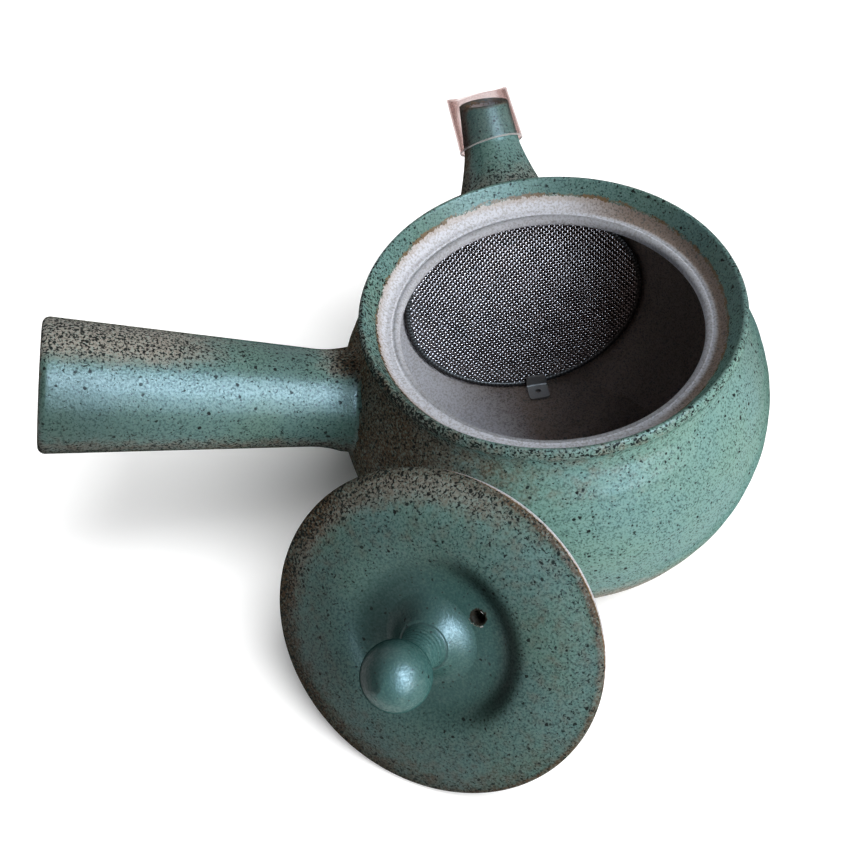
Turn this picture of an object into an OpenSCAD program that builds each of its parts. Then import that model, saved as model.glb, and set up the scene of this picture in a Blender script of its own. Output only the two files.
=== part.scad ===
// Side-handled kyusu teapot with its lid off: a glazed stoneware pot, a wedged-in
// wire strainer, a clear guard on the spout, and the lid leaning on the shoulder.
// Millimetres. The origin is the centre of the foot, on the table. +Z is up and
// the handle points along -X.

/* [Pot] */
// Radius of the belly at its widest
belly_r = 46.6; // [44:0.2:52]
// Height of the widest place above the table
belly_z = 33.5; // [30:0.5:36]
// Half height of the oval that the belly's side follows
belly_h = 42; // [40:0.5:46]
// Thickness of the thrown wall
wall = 2.6; // [2.2:0.1:3.4]
// Thickness of the floor
floor_t = 4.5; // [3.5:0.1:6]
// Height at which the shoulder turns into the cove under the collar
shoulder_z = 54; // [53:0.1:54.6]

/* [Rim] */
// Largest radius of the collar
collar_r = 39.7; // [39.2:0.1:40.8]
// Radius of the roll on the collar's outside
collar_b = 2.5; // [2:0.1:2.8]
// Height of the middle of that roll
collar_z = 60.9; // [60.4:0.1:62]
// Rounding of the rim's thin top edge
rim_b = 0.6; // [0.4:0.1:0.9]
// Radius of the mouth at the ledge's edge
mouth_r = 31.5; // [30.5:0.1:32.5]
// Height of the ledge that the lid sits on
ledge_z = 57; // [56.4:0.1:57.4]
// Thickness of the ledge at its edge
ledge_t = 2.5; // [2.3:0.1:3]
// Radius of the ledge's rounded edge
ledge_b = 1; // [0.6:0.1:1.1]
// Radius of the gallery's wall where it stands on the ledge
gallery_r = 35.1; // [34.9:0.1:35.6]

/* [Handle] */
// Height at which the handle's axis meets the belly
handle_z = 43.3; // [40:0.1:45]
// Tilt of the handle above level, degrees
handle_tilt = 18; // [10:0.5:22]
// Length of the handle along its axis
handle_len = 62.3; // [50:0.1:80]
// Radius just outside the joint with the belly
handle_root_r = 10; // [9:0.1:11.5]
// Radius at the open end
handle_end_r = 13.95; // [12:0.05:16]
// Thickness of the handle's wall
handle_wall = 3; // [2.2:0.1:4]
// Extra radius of the flare at the belly
handle_flare = 1.2; // [0.5:0.1:2]
// Length of the flare along the axis
flare_len = 7; // [4:0.5:9]

/* [Spout] */
// Angle between the handle and the spout, seen from above, degrees
spout_turn = 88; // [75:1:100]
// Height at which the spout's axis meets the belly
spout_z = 47; // [45:0.1:48]
// Tilt of the spout above level, degrees
spout_tilt = 38; // [34:0.5:44]
// Length of the spout along its axis, to the middle of its mouth
spout_len = 28.1; // [26:0.1:34]
// Radius at the joint with the belly
spout_root_r = 12; // [11:0.1:13]
// Radius where the flare has died out
spout_neck_r = 6.6; // [6.2:0.1:7.2]
// Radius at the mouth
spout_tip_r = 5.7; // [5.2:0.1:6.2]
// Length of the straight stretch between neck and mouth
spout_straight = 11; // [9:0.5:13]
// Thickness of the spout's wall
spout_wall = 1.5; // [1.2:0.1:2]
// Angle of the cut mouth from square, so the lower lip stands forward, degrees
mouth_cut = 25; // [0:1:30]
// Radius of the hole in the pot's wall behind the spout
spout_hole_r = 7.6; // [6:0.1:8.5]

/* [Spout guard] */
// Inner radius of the clear sleeve
guard_r = 6.95; // [6.9:0.05:7.6]
// Thickness of the sleeve
guard_wall = 0.5; // [0.4:0.1:0.9]
// Length of the sleeve
guard_len = 12.4; // [11:0.1:16]
// How far the sleeve reaches down over the spout from the middle of its mouth
guard_over = 10.4; // [8:0.1:11]
// Tilt of the loose sleeve on the spout, degrees
guard_lean = 3.6; // [0:0.2:4]

/* [Strainer] */
// Direction of the strainer from the handle, seen from above, degrees
strainer_turn = 90; // [80:1:100]
// How far the strainer's middle stands in from the belly's outside
strainer_back = 13.7; // [12.7:0.1:15.2]
// Lean of the strainer, its top outwards, degrees
strainer_tilt = 7; // [5:0.5:9]
// Thickness of the woven sheet
mesh_t = 0.7; // [0.5:0.1:1]
// Width of the hem that binds the sheet's edge
hem_w = 1.2; // [0.9:0.1:1.8]
// Thickness of the hem
hem_t = 1.4; // [1.2:0.1:2]
// Room left between the hem and the pot
strainer_gap = 0.3; // [0.25:0.05:0.5]
// Width of the pull tab
tab_w = 5; // [4:0.1:7]
// Length of the pull tab along the floor
tab_len = 5; // [4.5:0.1:7]
// Thickness of the pull tab
tab_t = 0.6; // [0.5:0.1:0.8]
// Height to which the tab's upright leg covers the hem and the sheet
tab_up = 3.4; // [2.5:0.1:4.5]
// Radius of the hole in the tab
tab_hole_r = 0.7; // [0.5:0.1:0.9]
// Sideways place of the tab on the hem
tab_side = -1.7; // [-4:0.1:4]

/* [Lid] */
// Radius of the lid
lid_r = 34.6; // [34:0.1:34.8]
// Thickness of the lid's rounded edge
lid_t = 3; // [2.6:0.1:3.4]
// Height of the lid's crown above the top of its edge
crown_h = 2.6; // [1.5:0.1:3]
// Radius of the crown's ring
crown_r = 21; // [19.5:0.5:24]
// Height of the dish's floor above the top of the edge
dish_h = 0.4; // [0.2:0.1:1]
// Radius of the dish's flat floor
dish_r = 12.5; // [12:0.5:14]
// Outer radius of the ring under the lid that finds the mouth
flange_r = 30; // [29:0.1:30.3]
// Depth of that ring below the top of the edge
flange_depth = 7.8; // [6.5:0.1:9.5]
// Thickness of that ring
flange_w = 2.6; // [2:0.1:3.4]
// Radius of the vent hole
vent_r = 1.4; // [1:0.1:2]
// Distance of the vent hole from the lid's axis
vent_at = 11.8; // [11:0.1:14]
// Direction of the vent hole round the lid, degrees
vent_turn = 133; // [0:1:359]

/* [Lid knob] */
// Radius of the knob's ball
ball_r = 6.8; // [6:0.1:8]
// Height of the ball's middle above the top of the lid's edge
ball_h = 16.6; // [14:0.1:20]
// Radius of the knob's neck
knob_neck_r = 3.8; // [3:0.1:4.5]
// Radius of the knob's foot on the lid
knob_foot_r = 9; // [7:0.1:9.2]

/* [Lid place] */
// Direction in which the lid leans on the pot, seen from above, degrees
lid_turn = 236.8; // [225:0.1:250]
// Tilt of the lid's axis above level, degrees
lid_tilt = 31.4; // [29:0.1:33]
// Room left between the lid's ring and the shoulder
lean_gap = 0.4; // [0.3:0.05:1]

/* [Hidden] */
$fn = 96;
glaze_colour = [0.30, 0.50, 0.44];
steel_colour = [0.62, 0.63, 0.65];
clear_colour = [0.85, 0.80, 0.80, 0.4];
arc_n = 10;
belly_n = 26;
curve_n = 8;
reach = 200;
handle_az = 180;
spout_az = handle_az - spout_turn;
strainer_az = handle_az - strainer_turn;

// Curves as lists of points
function arc(c, r, a0, a1, n) =
    [for (i = [0:n]) let (a = a0 + (a1 - a0) * i / n) c + r * [cos(a), sin(a)]];
function bezier(p, n) =
    [for (i = [0:n]) let (t = i / n, s = 1 - t)
        s * s * s * p[0] + 3 * s * s * t * p[1] + 3 * s * t * t * p[2] + t * t * t * p[3]];
function belly_at(z, inset) =
    (belly_r - inset) * sqrt(1 - pow((z - belly_z) / (belly_h - inset), 2));
function belly_arc(z0, z1, inset) =
    let (a0 = asin((z0 - belly_z) / (belly_h - inset)), a1 = asin((z1 - belly_z) / (belly_h - inset)))
    [for (i = [0:belly_n]) let (a = a0 + (a1 - a0) * i / belly_n)
        [(belly_r - inset) * cos(a), belly_z + (belly_h - inset) * sin(a)]];

// Outside of the pot, from the foot up over the collar and the rim's edge
collar_mid = [collar_r - collar_b, collar_z];
collar_low = -30;
rim_turn = 35;
rim_in = 158;
rim_mid = collar_mid + (collar_b - rim_b) * [cos(rim_turn), sin(rim_turn)];
shoulder = [belly_at(shoulder_z, 0), shoulder_z];
shoulder_way = [-belly_r / belly_h * tan(asin((shoulder_z - belly_z) / belly_h)), 1];
cove_end = collar_mid + collar_b * [cos(collar_low), sin(collar_low)];
cove_way = [-sin(collar_low), cos(collar_low)];
cove_pull = (cove_end.y - shoulder_z) / 3;
outside = concat(
    belly_arc(0, shoulder_z, 0),
    bezier([shoulder, shoulder + cove_pull * shoulder_way, cove_end - cove_pull * cove_way, cove_end], curve_n),
    arc(collar_mid, collar_b, collar_low + 10, rim_turn, arc_n),
    arc(rim_mid, rim_b, rim_turn + 20, rim_in, arc_n));

// Inside of the pot, from the gallery down over the ledge to the floor
throat_z = ledge_z - ledge_t;
ledge_edge = concat(
    arc([mouth_r + ledge_b, ledge_z - ledge_b], ledge_b, 90, 180, 4),
    arc([mouth_r + ledge_b, throat_z + ledge_b], ledge_b, 180, 270, 4));
gallery = [[gallery_r + ledge_b / 2, ledge_z + ledge_b], [gallery_r - ledge_b / 2, ledge_z]];
function inner_top(inset) = throat_z - 0.6 - inset;
function inside(inset) =
    let (up = belly_arc(floor_t + inset, inner_top(inset), wall + inset))
    [for (i = [len(up) - 1:-1:0]) up[i]];

// The strainer's place, and the height of its foot: on the floor, or higher where the wall stops it
strainer_r = belly_r - strainer_back;
function plane_low(inset) =
    let (a = belly_r - wall - inset, b = belly_h - wall - inset, t = tan(strainer_tilt),
         p = pow(t / a, 2) + pow(1 / b, 2), q = strainer_r * t / (a * a), c = pow(strainer_r / a, 2) - 1)
    belly_z - (q + sqrt(q * q - p * c)) / p;
strainer_foot = max(floor_t + strainer_gap, plane_low(strainer_gap));

// Outer profile of the handle along its axis, from inside the belly to the open end
function handle_at(s) =
    handle_root_r + (handle_end_r - handle_root_r) * max(s, 0) / handle_len
    + handle_flare * pow(max(0, 1 - max(s, 0) / flare_len), 2);
handle_start = -18;
lip_b = handle_wall / 2;
handle_lip = [handle_end_r - lip_b, handle_len - lip_b];
handle_steps = [0, 0.25, 0.5, 0.75, 1];

// Outer profile of the spout along its axis, from inside the belly past the mouth
spout_start = -20;
tip_over = spout_tip_r * tan(mouth_cut) + 1;
neck_s = spout_len - spout_straight;
tip_end_r = spout_tip_r - (spout_neck_r - spout_tip_r) * tip_over / spout_straight;
function spout_side(inset) = concat(
    [[spout_root_r - inset, spout_start]],
    bezier([[spout_root_r - inset, 0],
            [spout_root_r - 0.33 * (spout_root_r - spout_neck_r) - inset, 0.35 * neck_s],
            [spout_neck_r + 0.22 * (spout_root_r - spout_neck_r) - inset, 0.65 * neck_s],
            [spout_neck_r - inset, neck_s]], arc_n),
    [[tip_end_r - inset, spout_len + tip_over]]);

// The lid stands on its rounded edge and leans on the shoulder
edge_b = lid_t / 2;
lid_z = (lid_r - edge_b) * cos(lid_tilt) + edge_b * sin(lid_tilt) + edge_b;
touch_z = lid_z + flange_r * cos(lid_tilt) - flange_depth * sin(lid_tilt);
lid_out = belly_at(touch_z, 0) + lean_gap + flange_r * sin(lid_tilt) + flange_depth * cos(lid_tilt);
lid_top = concat(
    bezier([[dish_r, dish_h], [dish_r + 0.5 * (crown_r - dish_r), dish_h],
            [crown_r - 0.5 * (crown_r - dish_r), crown_h], [crown_r, crown_h]], curve_n),
    bezier([[crown_r, crown_h], [crown_r + 0.4 * (lid_r - crown_r), crown_h],
            [lid_r - edge_b - 3, 0.9], [lid_r - edge_b, 0]], curve_n));
lid_edge = arc([lid_r - edge_b, -edge_b], edge_b, 75, -90, arc_n);

// Places of the sub-parts' own axes
module at_handle() {
    translate([belly_at(handle_z, 0) * cos(handle_az), belly_at(handle_z, 0) * sin(handle_az), handle_z])
        rotate([0, 90 - handle_tilt, handle_az])
            children();
}
module at_spout() {
    translate([belly_at(spout_z, 0) * cos(spout_az), belly_at(spout_z, 0) * sin(spout_az), spout_z])
        rotate([0, 90 - spout_tilt, spout_az])
            children();
}
module at_guard() {
    at_spout()
        translate([0, 0, spout_len - guard_over])
            rotate([-guard_lean, 0, 0])
                children();
}
module at_lid() {
    translate([lid_out * cos(lid_turn), lid_out * sin(lid_turn), lid_z])
        rotate([0, 90 - lid_tilt, lid_turn])
            children();
}
module at_strainer() {
    rotate([0, 0, strainer_az])
        translate([strainer_r, 0, belly_z])
            rotate([0, strainer_tilt, 0])
                children();
}

// The pot's outer form as one full solid, and the room inside it
module full_pot() {
    rotate_extrude()
        polygon(concat([[0, 0]], outside, [[0, outside[len(outside) - 1].y]]));
}
module chamber(inset) {
    rotate_extrude()
        polygon(concat([[0, inner_top(inset)]], inside(inset), [[0, floor_t + inset]]));
}

module pot_body() {
    color(glaze_colour)
        difference() {
            rotate_extrude()
                polygon(concat([[0, 0]], outside, gallery, ledge_edge, inside(0), [[0, floor_t]]));
            at_spout()
                translate([0, 0, -reach / 4])
                    cylinder(r = spout_hole_r, h = reach / 4 + spout_root_r);
        }
}

module handle() {
    color(glaze_colour)
        difference() {
            at_handle()
                rotate_extrude()
                    polygon(concat(
                        [[handle_at(0) - handle_wall, handle_start], [handle_at(0), handle_start]],
                        [for (k = handle_steps) [handle_at(k * flare_len), k * flare_len]],
                        arc(handle_lip, lip_b, 0, 180, arc_n),
                        [for (k = [len(handle_steps) - 1:-1:0])
                            [handle_at(handle_steps[k] * flare_len) - handle_wall, handle_steps[k] * flare_len]]));
            full_pot();
        }
}

module spout() {
    inner = spout_side(spout_wall);
    color(glaze_colour)
        difference() {
            at_spout()
                difference() {
                    rotate_extrude()
                        polygon(concat(spout_side(0), [for (i = [len(inner) - 1:-1:0]) inner[i]]));
                    translate([0, 0, spout_len])
                        rotate([0, -mouth_cut, 0])
                            translate([-reach / 2, -reach / 2, 0])
                                cube(reach);
                }
            full_pot();
        }
}

module spout_guard() {
    color(clear_colour)
        at_guard()
            rotate_extrude()
                translate([guard_r, 0])
                    square([guard_wall, guard_len]);
}

module strainer_slab(t) {
    at_strainer()
        cube([t, reach, reach], center = true);
}

module strainer_mesh() {
    color(steel_colour)
        intersection() {
            chamber(strainer_gap + hem_w);
            strainer_slab(mesh_t);
        }
}

module strainer_hem() {
    color(steel_colour)
        difference() {
            intersection() {
                chamber(strainer_gap);
                strainer_slab(hem_t);
            }
            chamber(strainer_gap + hem_w);
        }
}

module strainer_tab() {
    hem_x = strainer_r + (strainer_foot - belly_z) * tan(strainer_tilt) - hem_t / 2 / cos(strainer_tilt);
    color(steel_colour)
        rotate([0, 0, strainer_az])
            translate([hem_x, tab_side - tab_w / 2, strainer_foot])
                difference() {
                    union() {
                        translate([-tab_len, 0, 0])
                            cube([tab_len, tab_w, tab_t]);
                        rotate([0, strainer_tilt, 0])
                            translate([-tab_t, 0, 0])
                                cube([tab_t, tab_w, tab_up]);
                    }
                    translate([-tab_len / 2, tab_w / 2, -tab_t])
                        cylinder(r = tab_hole_r, h = 3 * tab_t);
                }
}

module lid() {
    color(glaze_colour)
        at_lid()
            difference() {
                rotate_extrude()
                    polygon(concat(
                        [[0, dish_h]], lid_top, lid_edge,
                        [[flange_r, -lid_t], [flange_r, -flange_depth], [flange_r - flange_w, -flange_depth],
                         [flange_r - flange_w, -lid_t], [0, -lid_t]]));
                rotate([0, 0, vent_turn])
                    translate([vent_at, 0, -2 * lid_t])
                        cylinder(r = vent_r, h = 4 * lid_t);
            }
}

module lid_knob() {
    neck_a = -acos(knob_neck_r / ball_r);
    neck_z = ball_h + ball_r * sin(neck_a);
    color(glaze_colour)
        at_lid()
            rotate_extrude()
                polygon(concat(
                    [[0, dish_h]],
                    bezier([[knob_foot_r, dish_h],
                            [knob_neck_r + 0.35 * (knob_foot_r - knob_neck_r), dish_h + 0.6],
                            [knob_neck_r, dish_h + 0.45 * (neck_z - dish_h)],
                            [knob_neck_r, neck_z]], curve_n),
                    arc([0, ball_h], ball_r, neck_a + 5, 90, 2 * arc_n)));
}

pot_body();
handle();
spout();
spout_guard();
strainer_mesh();
strainer_hem();
strainer_tab();
lid();
lid_knob();
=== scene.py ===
import math

import bmesh
import bpy
import numpy as np
from mathutils import Matrix, Vector


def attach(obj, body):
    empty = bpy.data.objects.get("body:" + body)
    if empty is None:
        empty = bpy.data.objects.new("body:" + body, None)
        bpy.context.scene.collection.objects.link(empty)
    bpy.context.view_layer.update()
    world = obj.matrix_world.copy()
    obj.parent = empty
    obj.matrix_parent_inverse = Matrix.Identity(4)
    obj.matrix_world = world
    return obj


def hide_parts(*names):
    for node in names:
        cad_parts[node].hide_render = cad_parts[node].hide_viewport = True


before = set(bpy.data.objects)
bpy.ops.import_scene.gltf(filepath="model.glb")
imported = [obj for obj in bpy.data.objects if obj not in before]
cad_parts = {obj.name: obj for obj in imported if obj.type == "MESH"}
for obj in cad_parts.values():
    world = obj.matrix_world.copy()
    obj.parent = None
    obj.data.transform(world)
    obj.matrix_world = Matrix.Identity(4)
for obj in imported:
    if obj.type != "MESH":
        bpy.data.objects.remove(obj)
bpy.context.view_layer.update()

# Sizes of the pot in millimetres, most of them as in the part's source
MM = 0.001
BELLY_R = 46.6
BELLY_Z = 33.5
BELLY_H = 42.0
WALL = 2.6
FLOOR_T = 4.5
SHOULDER_Z = 54.0
COLLAR_R = 39.7
COLLAR_B = 2.5
COLLAR_Z = 60.9
COLLAR_LOW = -30
RIM_B = 0.6
RIM_TURN = 35
RIM_IN = 158
MOUTH_R = 31.5
LEDGE_Z = 57.0
LEDGE_T = 2.5
LEDGE_B = 1.0
GALLERY_R = 35.1
GROOVE_D = 0.22
ROOM_DROP = 0.6
FLOOR_ROUND_H = 1.2
FLOOR_ROUND_W = 1.4
FOOT_ROUND = 0.6

# Where the pot's glaze ends, where it is browner, and where shade and light are painted on it (far right
# darker, front right lighter): heights, and degrees round the pot
GLAZE_END_Z = 58.3
GLAZE_FOOT_Z = 2.2
HANDLE_SIDE_AZ = 190
SHOULDER_AZ = 240
SPOUT_SIDE_AZ = 110
SPOUT_SIDE_Z = 52
FAR_RIGHT_AZ = -2.865
FRONT_RIGHT_AZ = -55

# Handle
HANDLE_Z = 43.3
HANDLE_TILT = 18
HANDLE_LEN = 62.3
HANDLE_ROOT_R = 10.0
HANDLE_END_R = 13.95
HANDLE_WALL = 3.0
HANDLE_FLARE = 1.2
FLARE_LEN = 7.0
HANDLE_FILLET = 1.0

# Spout and its clear sleeve
SPOUT_AZ = 92
SPOUT_Z = 47.0
SPOUT_TILT = 38
SPOUT_LEN = 28.1
SPOUT_ROOT_R = 12.0
SPOUT_NECK_R = 6.6
SPOUT_TIP_R = 5.7
SPOUT_STRAIGHT = 11.0
SPOUT_WALL = 1.5
MOUTH_CUT = 25
SPOUT_HOLE_R = 7.6
SPOUT_HOLE_REACH = 12
SPOUT_FILLET = 2.6
GUARD_LEN = 12.4
GUARD_OVER = 10.4
GUARD_LEAN = 3.6
GUARD_WALL = 0.35
FILM_LEAN = 1.4
FILM_SLANT = 1.5
FILM_WIDE = 7.55
FILM_THICK = 6.95
FILM_TOP_WIDE = 6.9
FILM_TOP_THICK = 6.2

# Strainer
STRAINER_AZ = 90
STRAINER_R = 32.9
STRAINER_TILT = 7
STRAINER_GAP = 0.3
HEM_W = 1.2
HEM_T = 1.4
RIBS = 170
RIB_D = 0.25
WIRE_R = 0.145
WIRE_PITCH_U = 0.615
WIRE_PITCH_V = 0.745
TAB_W = 5.0
TAB_LEN = 5.0
TAB_T = 0.6
TAB_UP = 3.4
TAB_HOLE_R = 0.7
TAB_HOLE_AT = 0.45
TAB_SIDE = -1.7
TAB_CLEAR = 0.02
TAB_BEND = 1.0
TAB_CORNER = 0.7
PANEL_LOW = -34
PANEL_HIGH = 24
PANEL_STEPS = 6000

# Lid and knob
LID_R = 34.6
LID_T = 3.0
CROWN_H = 2.6
CROWN_R = 21.0
DISH_H = 0.4
DISH_R = 12.5
FLANGE_R = 30.0
FLANGE_DEPTH = 7.8
FLANGE_W = 2.6
FLANGE_B = 0.6
VENT_R = 1.4
VENT_LOW_R = 1.0
VENT_AT = 11.8
VENT_TURN = 133
CHIP_TURN = 350
BARE_TURN = 135
BARE_STEEP = 3.0
# Turns round the lid: the side away from light; the painted shade in the ring's trough; the top left,
# painted lighter; the knob's painted shadow, which also shades the knob's own side
LIGHT_TURN = 105
TROUGH_TURN = 110
TOP_LEFT_TURN = 215
LEE_TURN = 250
BALL_R = 6.8
BALL_H = 16.6
KNOB_NECK_R = 3.8
KNOB_FOOT_R = 9.0
MOUND_R = 4.8
MOUND_H = 3.4
MOUND_SKIRT = 1.2
KNOB_BED = 0.4
RING_D = 0.05
RING_PITCH = 0.95
LID_TURN = 236.8
LID_TILT = 31.4
LEAN_GAP = 0.4

# Columns of the revolved and tubular meshes
LATHE_COLS = 320
KNOB_COLS = 128
HANDLE_COLS = 192
SPOUT_COLS = 160
SLEEVE_COLS = 96
SLEEVE_ROWS = 26
HEM_SIDES = 16
WIRE_SIDES = 6

# Camera fitted to the photograph: angles in degrees, place in metres, focal length in pixels
CAMERA_PITCH = 50.24
CAMERA_ROLL = 7.18
CAMERA_HEADING = -3
CAMERA_PLACE = (-0.03723, -0.18564, 0.2512)
FOCAL_PX = 1300
PHOTO_PX = 863
SENSOR_MM = 36.0


# Curves and frames
def arc(centre, r, a0, a1, n):
    a = np.radians(np.linspace(a0, a1, n))
    return np.stack([centre[0] + r * np.cos(a), centre[1] + r * np.sin(a)], -1)


def bezier(points, n):
    t = np.linspace(0, 1, n)[:, None]
    a, b, c, d = (np.array(p, float) for p in points)
    return (1 - t) ** 3 * a + 3 * (1 - t) ** 2 * t * b + 3 * (1 - t) * t ** 2 * c + t ** 3 * d


def line(a, b, n):
    t = np.linspace(0, 1, n)[:, None]
    return (1 - t) * np.array(a, float) + t * np.array(b, float)


def smooth(x, lo, hi):
    t = np.clip((x - lo) / (hi - lo), 0, 1)
    return t * t * (3 - 2 * t)


def fade(x, lo, hi):
    """Falls from 1 to 0."""
    return 1 - smooth(x, lo, hi)


def apart(az, centre):
    """Degrees between two directions round an axis."""
    return np.abs((az - centre + 180) % 360 - 180)


def cos_from(turn, degrees):
    """1 for places that lie in a direction round an axis, -1 for those opposite."""
    return np.cos(turn - math.radians(degrees))


def direction(degrees):
    a = math.radians(degrees)
    return np.array([math.cos(a), math.sin(a)])


def ring_angles(n):
    return np.arange(n) * 2 * np.pi / n


def unit(v):
    return v / np.linalg.norm(v, axis=-1, keepdims=True)


def round_axis(verts):
    """Distance from an axis and direction round it."""
    return np.hypot(verts[:, 0], verts[:, 1]), np.arctan2(verts[:, 1], verts[:, 0])


def turned(tilt, turn):
    """Rotation that lays local Z along an axis with this tilt above level and this turn round the pot."""
    lean = Matrix.Rotation(math.radians(90 - tilt), 3, "Y")
    return np.array(Matrix.Rotation(math.radians(turn), 3, "Z") @ lean)


def belly_at(z, inset=0.0):
    return (BELLY_R - inset) * np.sqrt(np.maximum(0, 1 - ((z - BELLY_Z) / (BELLY_H - inset)) ** 2))


def belly_arc(z0, z1, inset, n):
    high = BELLY_H - inset
    a = np.linspace(math.asin((z0 - BELLY_Z) / high), math.asin((z1 - BELLY_Z) / high), n)
    return np.stack([(BELLY_R - inset) * np.cos(a), BELLY_Z + high * np.sin(a)], -1)


def on_axis(origin, turn, local):
    return local @ turn.T + origin


# Objects and meshes
def new_object(name, data):
    obj = bpy.data.objects.new(name, data)
    bpy.context.scene.collection.objects.link(obj)
    return obj


def marked_mesh(name, verts, faces, marks):
    """Mesh in metres with its vertex marks. A mark that is left out counts as 0."""
    mesh = bpy.data.meshes.new(name)
    mesh.from_pydata((np.asarray(verts) * MM).tolist(), [], faces)
    for key, values in marks.items():
        attribute = mesh.attributes.new(key, "FLOAT", "POINT")
        attribute.data.foreach_set("value", np.broadcast_to(values, len(verts)).astype(np.float32))
    return mesh


def finish_object(name, mesh, body, material, nodes, flat=False):
    """One piece that rides on a body and stands for CAD nodes."""
    bm = bmesh.new()
    bm.from_mesh(mesh)
    bmesh.ops.recalc_face_normals(bm, faces=bm.faces)
    bm.to_mesh(mesh)
    bm.free()
    mesh.polygons.foreach_set("use_smooth", np.full(len(mesh.polygons), not flat))
    mesh.materials.append(material)
    obj = new_object(name, mesh)
    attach(obj, body)
    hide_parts(*nodes)


def make_object(name, verts, faces, marks, body, material, nodes, flat=False):
    finish_object(name, marked_mesh(name, verts, faces, marks), body, material, nodes, flat)


def grid_faces(rows, cols, cyclic=False):
    i, j = np.meshgrid(np.arange(rows if cyclic else rows - 1), np.arange(cols), indexing="ij")
    k = (j + 1) % cols
    n = (i + 1) % rows
    return np.stack([i * cols + j, i * cols + k, n * cols + k, n * cols + j], -1).reshape(-1, 4).tolist()


def lathe(profile, cols):
    """Closed revolved mesh from a profile that starts and ends on the axis.

    Returns vertices, faces and the profile row of each vertex.
    """
    rows = profile[1:-1]
    phi = ring_angles(cols)
    ring = np.stack([np.cos(phi), np.sin(phi)], -1)
    xy = rows[:, None, 0, None] * ring[None]
    z = np.broadcast_to(rows[:, None, 1, None], (len(rows), cols, 1))
    verts = np.concatenate([xy, z], -1).reshape(-1, 3)
    faces = grid_faces(len(rows), cols)
    row = np.repeat(np.arange(1, len(rows) + 1), cols)
    first = len(verts)
    verts = np.vstack([verts, [0, 0, profile[0, 1]], [0, 0, profile[-1, 1]]])
    row = np.append(row, [0, len(profile) - 1])
    last_row = (len(rows) - 1) * cols
    for j in range(cols):
        faces.append([first, j, (j + 1) % cols])
        faces.append([first + 1, last_row + (j + 1) % cols, last_row + j])
    return verts, faces, row


def along(profile):
    return np.append(0, np.cumsum(np.linalg.norm(np.diff(profile, axis=0), axis=1)))


def punch(mesh, centre, axis, radius, far_radius, reach):
    """Cuts a round hole: drops the faces inside it, sets the open edges on its wall and joins them.

    The first radius holds ahead of the centre along the axis, and the far one behind it.
    """
    bm = bmesh.new()
    bm.from_mesh(mesh)
    centre = np.array(centre) * MM
    axis = unit(np.array(axis))

    def offset(co):
        d = np.array(co) - centre
        s = d @ axis
        return s, d - s * axis, (radius if s > 0 else far_radius) * MM

    inside = []
    for face in bm.faces:
        s, d, size = offset(face.calc_center_median())
        if abs(s) < reach * MM and np.linalg.norm(d) < size:
            inside.append(face)
    bmesh.ops.delete(bm, geom=inside, context="FACES")
    edges = [e for e in bm.edges if e.is_boundary]
    for vert in {v for e in edges for v in e.verts}:
        s, d, size = offset(vert.co)
        vert.co = centre + s * axis + d * (size / np.linalg.norm(d))
    bmesh.ops.bridge_loops(bm, edges=edges)
    bm.to_mesh(mesh)
    bm.free()


# Nodes of the materials
def feed(tree, node, inputs):
    """Joins sockets to a node's inputs and sets the plain values."""
    for key, value in inputs.items():
        if isinstance(value, bpy.types.NodeSocket):
            tree.links.new(value, node.inputs[key])
        else:
            node.inputs[key].default_value = value


def add(tree, kind, inputs=(), **settings):
    node = tree.nodes.new("ShaderNode" + kind)
    for key, value in settings.items():
        setattr(node, key, value)
    feed(tree, node, dict(inputs))
    return node


def calc(tree, operation, *values):
    return add(tree, "Math", dict(enumerate(values)), operation=operation).outputs[0]


def ease(tree, value, lo, hi, out_lo=0.0, out_hi=1.0):
    """Smooth step of a value from one range to another."""
    inputs = {"Value": value, "From Min": lo, "From Max": hi, "To Min": out_lo, "To Max": out_hi}
    return add(tree, "MapRange", inputs, interpolation_type="SMOOTHSTEP").outputs[0]


def mix(tree, factor, a, b, blend="MIX"):
    a, b = ((*c, 1) if isinstance(c, tuple) else c for c in (a, b))
    return add(tree, "Mix", {0: factor, 6: a, 7: b}, data_type="RGBA", blend_type=blend).outputs[2]


def scaled(tree, colour, amount):
    return add(tree, "VectorMath", {0: colour, "Scale": amount}, operation="SCALE").outputs[0]


def noise(tree, vector, scale, detail, roughness=0.5, output="Fac"):
    inputs = {"Vector": vector, "Scale": scale, "Detail": detail, "Roughness": roughness}
    return add(tree, "TexNoise", inputs).outputs[output]


def mark(tree, name):
    return add(tree, "Attribute", attribute_name=name).outputs["Fac"]


def new_material(name):
    material = bpy.data.materials.new(name)
    material.use_nodes = True
    tree = material.node_tree
    return material, tree, tree.nodes["Principled BSDF"]


# Colours, linear
TEAL_GREEN = (0.186, 0.342, 0.290)
TEAL_BLUE = (0.177, 0.336, 0.316)
TEAL_PALE = (0.290, 0.450, 0.410)
TEAL_DEEP = (0.050, 0.166, 0.158)
RUST_WARM = (0.165, 0.105, 0.060)
RUST_GREY = (0.205, 0.185, 0.145)
SPECK_TEAL = (0.016, 0.026, 0.024)
SPECK_BLACK = (0.007, 0.007, 0.007)
TAN = (0.450, 0.410, 0.352)
EDGE_BROWN = (0.210, 0.120, 0.055)
# Pale clay, with a bluish cast of light painted into it
CLAY_PALE = (0.830, 0.840, 0.910)
CLAY_GREY = (0.640, 0.630, 0.660)
CLAY_TAN = (0.540, 0.450, 0.380)
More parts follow.
